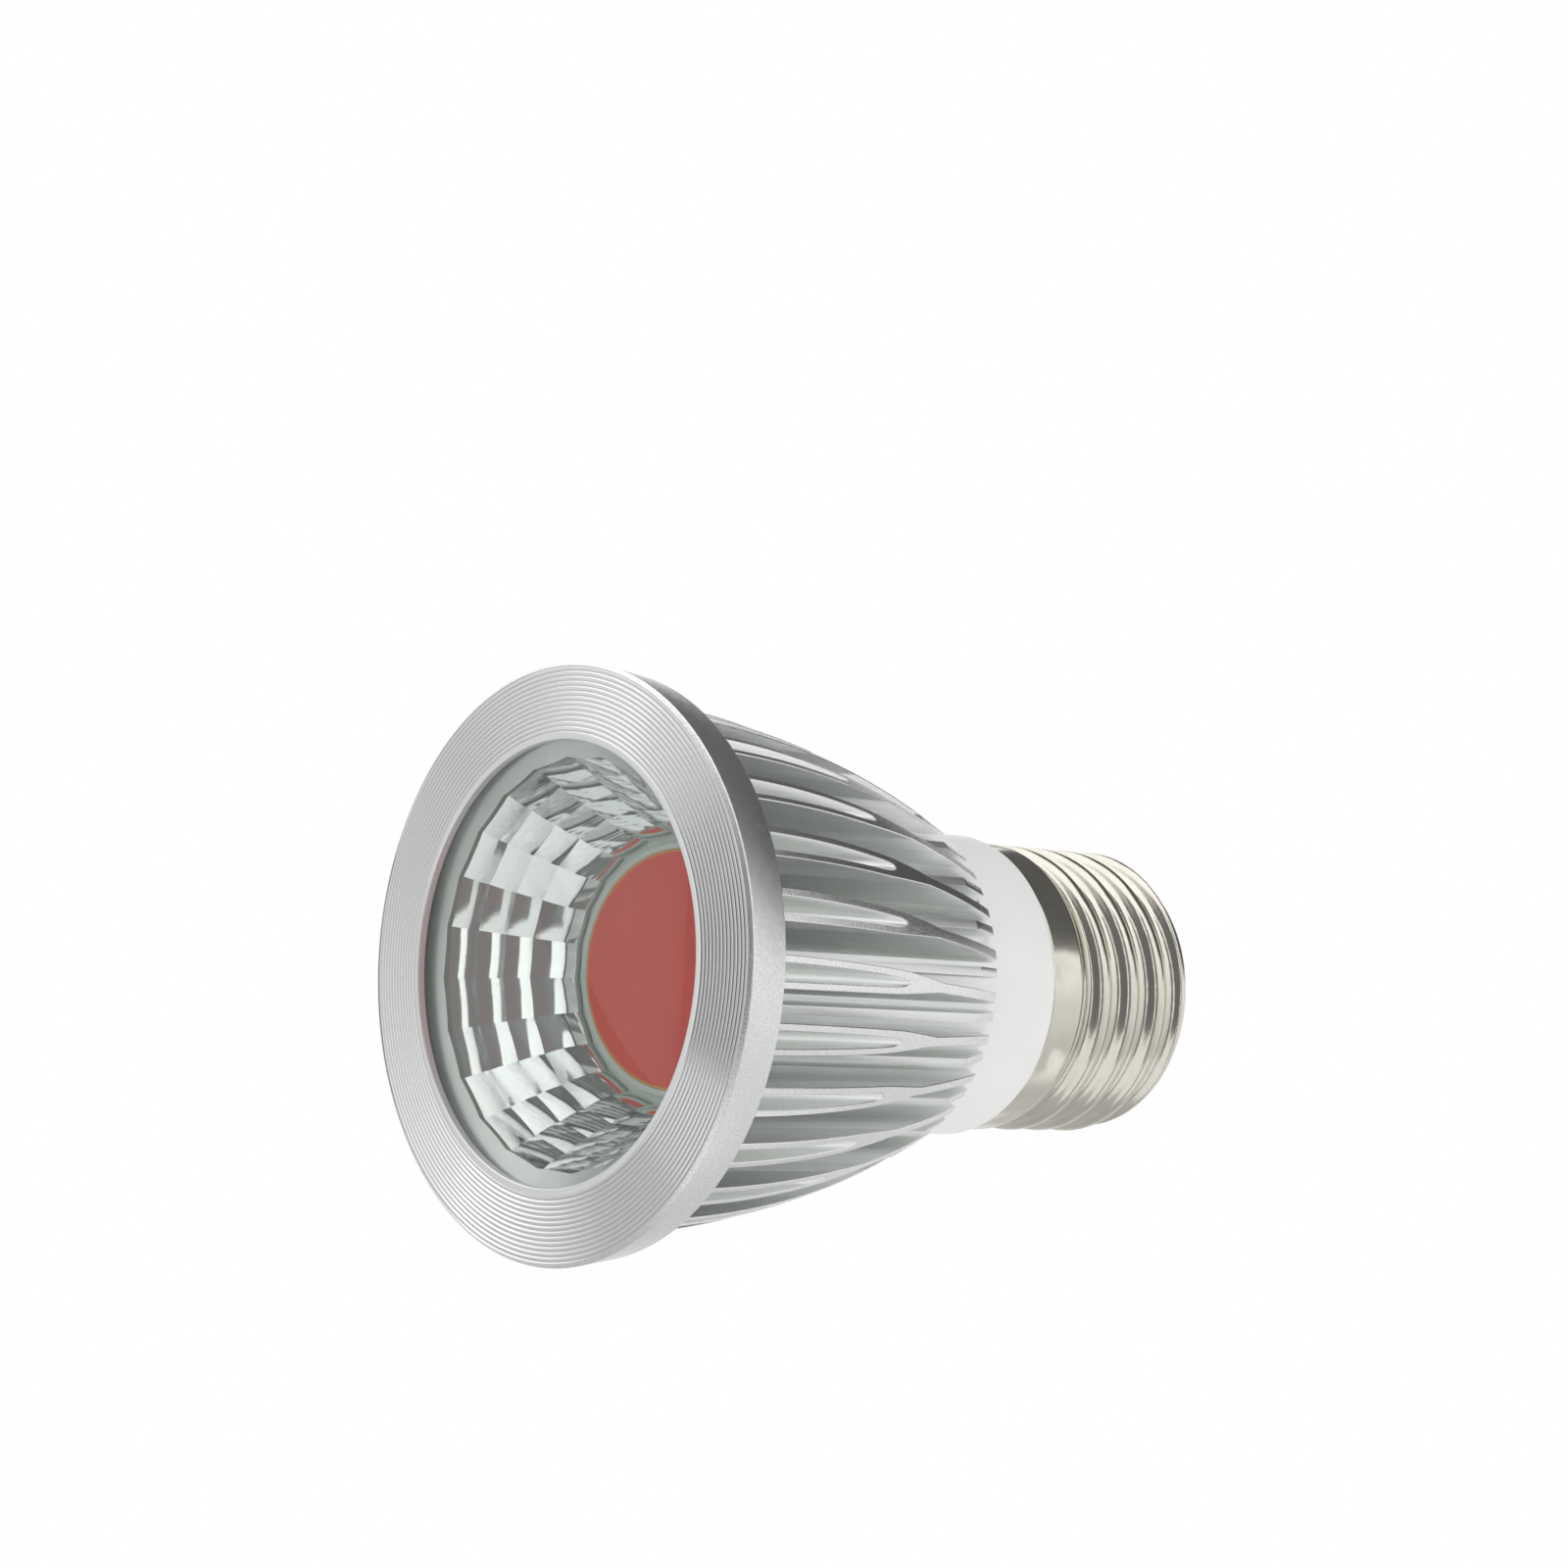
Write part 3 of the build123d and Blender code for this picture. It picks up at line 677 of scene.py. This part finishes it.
class LampColours(bpy.types.PropertyGroup):
    ring: colour_property("Ring", "Bare aluminium of the front ring", "E6E7E7")
    sink: colour_property("Heat sink", "Bare aluminium of the heat sink", "EEF0EE")
    film: colour_property("Reflector film", "Metal film on the reflector", "E5E8E6")
    rim: colour_property("Reflector rim", "Textured rim under the cover", "C9CCC9")
    phosphor: colour_property("Phosphor", "Gel over the light chips", "D0402E")
    amber: colour_property("Gel edge", "Gel where it thins out at its edge", "C08A3C")
    dam: colour_property("Dam", "Silicone bead round the gel", "B6BEB7")
    board: colour_property("Board", "Mask on the light board", "B0B9B3")
    collar: colour_property("Collar", "White moulding behind the heat sink", "F0F0EF")
    shell: colour_property("Screw shell", "Nickel plate of the screw base", "DAD6CB")


# Operators


class LampOperator:
    """What every piece's operator shares"""

    bl_options = {"REGISTER", "UNDO"}


class LAMP_OT_front_ring(LampOperator, bpy.types.Operator):
    """Turned front ring with its spiral face and satin side"""

    bl_idname = "lamp.front_ring"
    bl_label = "Front ring"

    def execute(self, context):
        sizes, colour = context.scene.lamp_sizes, tuple(context.scene.lamp_colours.ring)
        outline, face = ring_points(sizes.groove_pitch / MM, sizes.groove_depth / MM)
        bore = np.argmax(outline[:, 0, 0] < RING_BORE + 0.05)
        mesh = make_mesh(
            "front_ring_turned",
            [(outline[: bore + 1], False, True, 1), (outline[bore:], False, True, 2), (face, False, True, 0),
             (np.concatenate([outline[-1:], face[:1]]), False, True, 0),
             (np.concatenate([face[-1:], outline[:1]]), False, True, 0)],
        )
        face_outwards(mesh, JOIN)
        materials = [
            turned_face_aluminium(colour, sizes.groove_pitch), turned_side_aluminium(colour),
            bored_aluminium(colour),
        ]
        add_piece("front_ring_turned", mesh, materials, ["front_ring"], crease=35)
        return {"FINISHED"}


class LAMP_OT_cover_glass(LampOperator, bpy.types.Operator):
    """Clear cover in front of the reflector"""

    bl_idname = "lamp.cover_glass"
    bl_label = "Cover glass"

    def execute(self, context):
        front, rear = COVER_FRONT + 0.02, COVER_REAR - 0.005
        profile = soften(
            [(0, front), (COVER_RADIUS, front), (COVER_RADIUS, rear), (0, rear)], [0, 0.1, 0.1, 0], closed=False
        )
        lathe_piece("cover_disc", profile, clear_cover(), ["cover_glass"], closed=False)
        return {"FINISHED"}


class LAMP_OT_reflector(LampOperator, bpy.types.Operator):
    """Facetted reflector bowl with its shallow rim"""

    bl_idname = "lamp.reflector"
    bl_label = "Reflector"

    # The back and the rim as radius and level, from the bowl's end to its mouth
    back = (
        (11.3, BOWL_REAR), (12.2, 10.3), (13.4, 8.7), (14.8, 7.0), (16.3, 5.2), (17.6, 3.6), (17.85, 3.1),
        (18.1, 2.95), (COVER_RADIUS - 0.05, SINK_FRONT), (COVER_RADIUS, SINK_FRONT - 0.05),
        (COVER_RADIUS, COVER_REAR + 0.05), (COVER_RADIUS - 0.05, COVER_REAR + 0.015),
    )

    def execute(self, context):
        colours = context.scene.lamp_colours
        across = down = 10
        inside = facet_points(context.scene.lamp_sizes.facet_turn, across, down)
        inner_rows, columns = inside.shape[:2]
        direction = np.arctan2(inside[0, :, 1], inside[0, :, 0])
        radius, level = np.array(self.back).T[:, :, None]
        points = np.concatenate([inside, polar(radius, direction, level)])
        mesh = make_mesh("reflector_bowl", [(points, True, True, 0)])
        face_outwards(mesh)
        # A face takes its finish from its first row of points: the step, the facets, or the back with the rim
        number = np.empty(len(mesh.polygons) * 4, np.int32)
        mesh.loops.foreach_get("vertex_index", number)
        corner_rows = number.reshape(-1, 4) // columns
        first_row = np.where(np.ptp(corner_rows, axis=1) > 1, len(points) - 1, corner_rows.min(axis=1))
        finish = np.where(first_row < down, 2, np.where(first_row < inner_rows - 1, 0, 1))
        mesh.polygons.foreach_set("material_index", finish.astype(np.int32))
        # An edge is sharp between two facets, and on the back
        ends = np.empty(len(mesh.edges) * 2, np.int32)
        mesh.edges.foreach_get("vertices", ends)
        line, spoke = np.divmod(ends.reshape(-1, 2), columns)
        along_ring = (line[:, 0] == line[:, 1]) & (line[:, 0] % down == 0)
        along_spoke = (spoke[:, 0] == spoke[:, 1]) & (spoke[:, 0] % across == 0)
        facets = (line < inner_rows).all(axis=1)
        sharp = (facets & (along_ring | along_spoke)) | (line.min(axis=1) >= inner_rows)
        finishes = [
            metallised_plastic(tuple(colours.film)), metallised_rim(tuple(colours.rim)),
            # Painted shade: the step below the rim is a matte mid-grey in place of the metal film
            plain_finish("matte grey step, painted shade", "848A86", 0.0, 0.45, 0.2, 0.01),
        ]
        add_piece("reflector_bowl", mesh, finishes, ["reflector"], crease=None)
        attribute = mesh.attributes.get("sharp_edge") or mesh.attributes.new("sharp_edge", "BOOLEAN", "EDGE")
        attribute.data.foreach_set("value", sharp)
        return {"FINISHED"}


class LAMP_OT_light(LampOperator, bpy.types.Operator):
    """Light board, its silicone dam and the gel over the chips"""

    bl_idname = "lamp.light"
    bl_label = "Light"

    def execute(self, context):
        colours = context.scene.lamp_colours
        board = soften(
            [(0, BOARD_FRONT), (BOARD_RADIUS, BOARD_FRONT), (BOARD_RADIUS, BOARD_REAR), (0, BOARD_REAR)],
            [0, 0.1, 0.1, 0], closed=False,
        )
        board_finish = plain_finish("solder mask on aluminium", tuple(colours.board), 0.0, 0.42, 0.3, 0.004)
        lathe_piece("light_board", board, board_finish, ["cob_board"], closed=False)
        bore, rear = DAM_BORE + 0.02, BOARD_FRONT - 0.03
        dam = soften(
            [(bore, rear), (DAM_RADIUS, rear), (DAM_RADIUS - 0.04, DAM_FRONT + 0.06),
             (DAM_RADIUS - 0.3, DAM_FRONT), (bore, DAM_FRONT + 0.04)], 0.12,
        )
        dam_finish = plain_finish("silicone, cast bead", tuple(colours.dam), 0.0, 0.35, 0.4, 0.01)
        lathe_piece("light_dam", dam, dam_finish, ["cob_dam"])
        # The gel dips slightly in its middle and climbs to the dam at its edge
        radius = np.linspace(0, DAM_BORE, 24)
        level = DAM_FRONT + 0.1 - 0.03 * (radius / DAM_BORE) ** 8
        rear = BOARD_FRONT - 0.05
        gel = np.r_[np.column_stack([radius, level]), [(DAM_BORE + 0.01, rear), (0, rear)]]
        gel_finish = phosphor_gel(tuple(colours.phosphor), tuple(colours.amber))
        lathe_piece("light_gel", gel, gel_finish, ["led_disc"], closed=False)
        return {"FINISHED"}


class LAMP_OT_heat_sink(LampOperator, bpy.types.Operator):
    """Heat sink: forked fins round a tube, turned to the lamp's outline"""

    bl_idname = "lamp.heat_sink"
    bl_label = "Heat sink"

    def execute(self, context):
        colour = tuple(context.scene.lamp_colours.sink)
        # The tube with its floor, from the axis on the floor's front round to the axis on its rear
        tube = soften(
            [(0, FLOOR_FRONT), (POCKET_RADIUS, FLOOR_FRONT), (POCKET_RADIUS, POCKET_REAR),
             (TUBE_RADIUS, float(foot_level(TUBE_RADIUS))), (TUBE_RADIUS, SINK_REAR), (TUBE_BORE, SINK_REAR),
             (TUBE_BORE, FLOOR_REAR), (0, FLOOR_REAR)],
            [0, 0, 0, 0, 0, 0.1, 0, 0], closed=False,
        )
        grids = fork_grids(context.scene.lamp_sizes.edge_break / MM) + rib_grids()
        grids.append((turn(tube, 288), False, True, 1))
        mesh = make_mesh("heat_sink_fins", grids)
        face_outwards(mesh, JOIN)
        materials = [lathe_cut_aluminium(colour), extruded_aluminium(colour)]
        add_piece("heat_sink_fins", mesh, materials, ["heat_sink"], crease=32)
        return {"FINISHED"}


class LAMP_OT_base_collar(LampOperator, bpy.types.Operator):
    """White collar between the heat sink and the screw shell"""

    bl_idname = "lamp.base_collar"
    bl_label = "Base collar"

    def execute(self, context):
        finish = white_moulding(tuple(context.scene.lamp_colours.collar))
        rounding, neck, sleeve, bore = 0.9, 11.45, 11.55, 10.0
        bend = np.linspace(0, pi / 2, 9)
        edge = np.column_stack([np.cos(bend), np.sin(bend)]) * rounding
        profile = np.r_[
            [(COLLAR_RADIUS - 0.16, SINK_REAR), (COLLAR_RADIUS - 0.1, SINK_REAR + 0.06),
             (COLLAR_RADIUS - 0.08, SINK_REAR + 1.3), (COLLAR_RADIUS - 0.04, SINK_REAR + 5.3)],
            edge + (COLLAR_RADIUS - rounding, SHELL_FRONT - rounding),
            [(12.0, SHELL_FRONT), (12.0, 49.0), (sleeve, 49.3), (sleeve, NOSE_REAR), (bore, NOSE_REAR),
             (bore, FLOOR_REAR + 0.05), (neck, FLOOR_REAR + 0.05), (neck, SINK_REAR)],
        ]
        lathe_piece("collar_moulding", profile, finish, ["base_collar"], crease=40)
        return {"FINISHED"}


class LAMP_OT_screw_shell(LampOperator, bpy.types.Operator):
    """Rolled screw shell with its crimps"""

    bl_idname = "lamp.screw_shell"
    bl_label = "Screw shell"

    def execute(self, context):
        points = shell_points(context.scene.lamp_sizes.crimp_depth / MM)
        mesh = make_mesh("screw_shell_rolled", [(points, True, True, 0)])
        face_outwards(mesh, JOIN)
        finish = rolled_nickel(tuple(context.scene.lamp_colours.shell))
        add_piece("screw_shell_rolled", mesh, [finish], ["screw_shell"], crease=50)
        return {"FINISHED"}


class LAMP_OT_cap_end(LampOperator, bpy.types.Operator):
    """Black insulator and the centre contact"""

    bl_idname = "lamp.cap_end"
    bl_label = "Cap end"

    def execute(self, context):
        rivet, hole, body, lip = 1.4, 1.43, GLASS_RADIUS - 0.01, SHELL_END - 0.05
        glass = soften(
            [(hole, GLASS_FRONT), (body, GLASS_FRONT), (body, SHELL_REAR - 0.38), (lip, SHELL_REAR - 0.38),
             (lip, SHELL_REAR + 0.05), (5.5, GLASS_REAR), (hole, GLASS_REAR)],
            [0, 0.2, 0.05, 0.05, 0.5, 0.5, 0], steps=6,
        )
        finish = plain_finish("vitrite glass, fire polished", "101012", 0.0, 0.12, 1.4, 0.01, amount=0.2)
        lathe_piece("cap_insulator", glass, finish, ["insulator"], crease=40)
        # The contact's dome rises as a parabola from its edge to its middle
        inwards, height = np.linspace(0, 1, 16), 0.9
        dome = np.column_stack([CONTACT_RADIUS * (1 - inwards), CONTACT_REAR - height * (1 - inwards) ** 2])
        contact = np.r_[
            [(0, GLASS_FRONT + 0.02), (rivet, GLASS_FRONT + 0.02), (rivet, GLASS_REAR),
             (CONTACT_RADIUS - 0.08, GLASS_REAR), (CONTACT_RADIUS, GLASS_REAR + 0.1)], dome,
        ]
        contact_finish = plain_finish("tin on brass, pressed", "D2CEC4", 1.0, 0.3, 0.6, 0.01)
        lathe_piece("cap_contact", contact, contact_finish, ["centre_contact"], closed=False)
        return {"FINISHED"}


class LAMP_OT_inner_parts(LampOperator, bpy.types.Operator):
    """Finishes of the driver, its wires and what else is closed in"""

    bl_idname = "lamp.inner_parts"
    bl_label = "Inner parts"

    def execute(self, context):
        finishes = {
            ("thermal_pad",): plain_finish("silicone gap pad", "8F9499", 0.0, 0.7, 0.4),
            ("collar_screws",): plain_finish("steel, zinc plated", "C3C4C4", 1.0, 0.3, 0.3),
            ("positive_lead",): plain_finish("PVC insulation, red", "BB2A22", 0.0, 0.4, 0.8),
            ("negative_lead",): plain_finish("PVC insulation, black", "1A1A1B", 0.0, 0.4, 0.8),
            ("driver_board",): plain_finish("solder mask on glass fibre", "2B6B43", 0.0, 0.45, 0.5),
            ("input_capacitor",): plain_finish("film capacitor case", "D2A03C", 0.0, 0.35, 0.8),
            ("output_capacitor",): plain_finish("shrunk PVC sleeve", "26282E", 0.0, 0.3, 0.9),
            ("transformer_core",): plain_finish("sintered ferrite", "38383A", 0.0, 0.6, 0.2),
            ("transformer_coil",): plain_finish("polyester winding tape", "D9B23B", 0.0, 0.3, 1.2),
            ("rectifier", "driver_chip"): plain_finish("moulded epoxy", "1D1E20", 0.0, 0.55, 0.2),
            ("fuse_resistor",): plain_finish("lacquered resistor", "5C8F83", 0.0, 0.35, 0.5),
            ("live_wire",): plain_finish("PVC insulation, brown", "5B3A28", 0.0, 0.4, 0.8),
            ("neutral_wire",): plain_finish("PVC insulation, blue", "2A4F9C", 0.0, 0.4, 0.8),
        }
        for nodes, material in finishes.items():
            for name in nodes:
                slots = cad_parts[name].data.materials
                slots.clear()
                slots.append(material)
        return {"FINISHED"}


class LAMP_OT_studio(LampOperator, bpy.types.Operator):
    """Pale floor, soft lamps, world and camera"""

    bl_idname = "lamp.studio"
    bl_label = "Studio"

    # Where the camera stands, in metres, and its right and up directions
    camera_place = (0.22735, -0.00115, -0.17658)
    camera_right = (0.6638, -0.0575, 0.7457)
    camera_up = (0.0, -0.9970, -0.0769)

    # What shiny surfaces see round the lamp: azimuth from the front towards +X, elevation towards -Y, the half
    # width, half height and soft edge of each patch, all in degrees, and its brightness
    patches = (
        (0, 10, 30, 40, 12, 0.60),
        (45, -52, 42, 26, 8, 1.00),
        (36, 15, 19, 40, 2, 0.17),
        (60, 10, 4, 28, 1.5, 1.45),
        (54, 52, 6, 14, 1.5, 1.45),
        (76, 3, 11, 52, 2, 0.22),
        (181, 42.5, 43, 20.5, 4, 0.11),
        (177.5, 19.5, 24.5, 10.5, 4, 0.07),
        (-52, 4, 30, 12, 8, 0.44),
    )

    def execute(self, context):
        scene = context.scene
        scene.view_settings.view_transform = "Standard"
        self.world(scene)
        self.floor(scene)
        self.lamp(scene, "soft_front", (-0.5, -0.2, -0.75), 0.7, 0.5)
        self.lamp(scene, "soft_low", (0.35, 0.8, 0.55), 0.6, 0.4)
        camera = bpy.data.objects.new("camera", bpy.data.cameras.new("camera"))
        camera.data.lens, camera.data.sensor_width = 79.92, 36.0
        camera.data.clip_start = 0.01
        right = Vector(self.camera_right)
        back = right.cross(Vector(self.camera_up))
        turned = Matrix((right, back.cross(right), back)).transposed().to_4x4()
        camera.matrix_world = Matrix.Translation(self.camera_place) @ turned
        scene.collection.objects.link(camera)
        scene.camera = camera
        return {"FINISHED"}

    def world(self, scene):
        """White to the camera, even to matte surfaces, and with soft dark and bright patches to shiny ones."""
        world = bpy.data.worlds.new("studio")
        scene.world = world
        world.use_nodes = True
        tree = world.node_tree
        place = add(tree, "ShaderNodeTexCoord").outputs["Generated"]
        path = add(tree, "ShaderNodeLightPath")

        def math(operation, first, second=0.0):
            return add(tree, "ShaderNodeMath", {0: first, 1: second}, operation=operation).outputs[0]

        def between(value, start, end, at_start, at_end, kind="SMOOTHSTEP"):
            ends = {"From Min": start, "From Max": end, "To Min": at_start, "To Max": at_end}
            return add(
                tree, "ShaderNodeMapRange", {"Value": value, **ends}, interpolation_type=kind
            ).outputs["Result"]

        def along(x, y, z):
            dot = add(tree, "ShaderNodeVectorMath", {0: place, 1: (x, y, z)}, operation="DOT_PRODUCT")
            return dot.outputs["Value"]

        height = along(0, -1, 0)
        elevation = math("ARCSINE", height)
        # Apart from the patches, it gets brighter from the bottom to the top
        level = between(height, -0.9, 0.87, 0.50, 1.40, "LINEAR")
        for patch in self.patches:
            azimuth, middle, half_width, half_height, soft = map(radians, patch[:5])
            side = along(np.cos(azimuth), 0, np.sin(azimuth))
            ahead = along(np.sin(azimuth), 0, -np.cos(azimuth))
            turned = math("ABSOLUTE", math("ARCTAN2", side, ahead))
            raised = math("ABSOLUTE", math("SUBTRACT", elevation, middle))
            share = math(
                "MULTIPLY",
                between(turned, half_width, half_width + soft, 1.0, 0.0),
                between(raised, half_height, half_height + soft, 1.0, 0.0),
            )
            level = add(tree, "ShaderNodeMix", {0: share, 2: level, 3: patch[5]}, data_type="FLOAT").outputs[0]
        before_matte = math("LESS_THAN", path.outputs["Diffuse Depth"], 0.5)
        shiny = math("MULTIPLY", path.outputs["Is Glossy Ray"], before_matte)
        lit = add(tree, "ShaderNodeMix", {0: shiny, 2: 0.9, 3: level}, data_type="FLOAT").outputs[0]
        seen = {0: path.outputs["Is Camera Ray"], 2: lit, 3: 1.0}
        strength = add(tree, "ShaderNodeMix", seen, data_type="FLOAT")
        background = tree.nodes["Background"]
        tree.links.new(strength.outputs[0], background.inputs["Strength"])
        background.inputs["Color"].default_value = (1, 1, 1, 1)

    def floor(self, scene):
        """Pale floor under the ring. It shows from above only, so that the lamp can be seen from below too."""
        half_width, level = 1500, -0.02
        x = np.linspace(-half_width, half_width, 3)
        grid = np.stack([*np.meshgrid(x, x, indexing="ij"), np.full((3, 3), level)], axis=-1)
        mesh = make_mesh("floor", [(grid, False, False, 0)])
        body = bmesh.new()
        body.from_mesh(mesh)
        for face in body.faces:
            if face.normal.z < 0:
                face.normal_flip()
        body.to_mesh(mesh)
        body.free()
        material, tree, principled = new_material("paper sweep", Base_Color=linear("F2F2F1"), Roughness=0.9)
        path = add(tree, "ShaderNodeLightPath")
        side = add(tree, "ShaderNodeNewGeometry")
        front = add(tree, "ShaderNodeMath", {0: 1.0, 1: side.outputs["Backfacing"]}, operation="SUBTRACT")
        both = {0: path.outputs["Is Camera Ray"], 1: front.outputs[0]}
        shown = add(tree, "ShaderNodeMath", both, operation="MULTIPLY")
        clear = add(tree, "ShaderNodeBsdfTransparent")
        mix = add(
            tree, "ShaderNodeMixShader", {0: shown.outputs[0], 1: clear.outputs[0], 2: principled.outputs[0]}
        )
        tree.links.new(mix.outputs[0], tree.nodes["Material Output"].inputs["Surface"])
        mesh.materials.append(material)
        floor = bpy.data.objects.new("floor", mesh)
        scene.collection.objects.link(floor)

    def lamp(self, scene, name, place, size, power):
        """Round soft lamp, its place and size in metres and its power in watts, aimed at the model's middle."""
        data = bpy.data.lights.new(name, "AREA")
        data.shape, data.size, data.energy = "DISK", size, power
        lamp = bpy.data.objects.new(name, data)
        lamp.location = place
        aim = Vector((0, 0, 0.03)) - Vector(place)
        lamp.rotation_euler = aim.to_track_quat("-Z", "Y").to_euler()
        lamp.visible_camera = False
        scene.collection.objects.link(lamp)


STEPS = (
    LAMP_OT_front_ring, LAMP_OT_cover_glass, LAMP_OT_reflector, LAMP_OT_light, LAMP_OT_heat_sink,
    LAMP_OT_base_collar, LAMP_OT_screw_shell, LAMP_OT_cap_end, LAMP_OT_inner_parts, LAMP_OT_studio,
)


class LAMP_PT_panel(bpy.types.Panel):
    """Lists the lamp's pieces and what can be changed"""

    bl_idname = "LAMP_PT_panel"
    bl_label = "COB LED lamp"
    bl_space_type = "VIEW_3D"
    bl_region_type = "UI"
    bl_category = "Lamp"

    def draw(self, context):
        for group in (context.scene.lamp_sizes, context.scene.lamp_colours):
            for key in group.bl_rna.properties.keys():
                if key not in ("rna_type", "name"):
                    self.layout.prop(group, key)
        for step in STEPS:
            self.layout.operator(step.bl_idname)


CLASSES = (LampSizes, LampColours, *STEPS, LAMP_PT_panel)


def register():
    for item in CLASSES:
        bpy.utils.register_class(item)
    bpy.types.Scene.lamp_sizes = PointerProperty(type=LampSizes)
    bpy.types.Scene.lamp_colours = PointerProperty(type=LampColours)


def unregister():
    del bpy.types.Scene.lamp_sizes, bpy.types.Scene.lamp_colours
    for item in reversed(CLASSES):
        bpy.utils.unregister_class(item)


def main():
    """Builds every piece and the studio in order."""
    register()
    for step in STEPS:
        group, name = step.bl_idname.split(".")
        getattr(getattr(bpy.ops, group), name)()


if __name__ == "__main__":
    main()
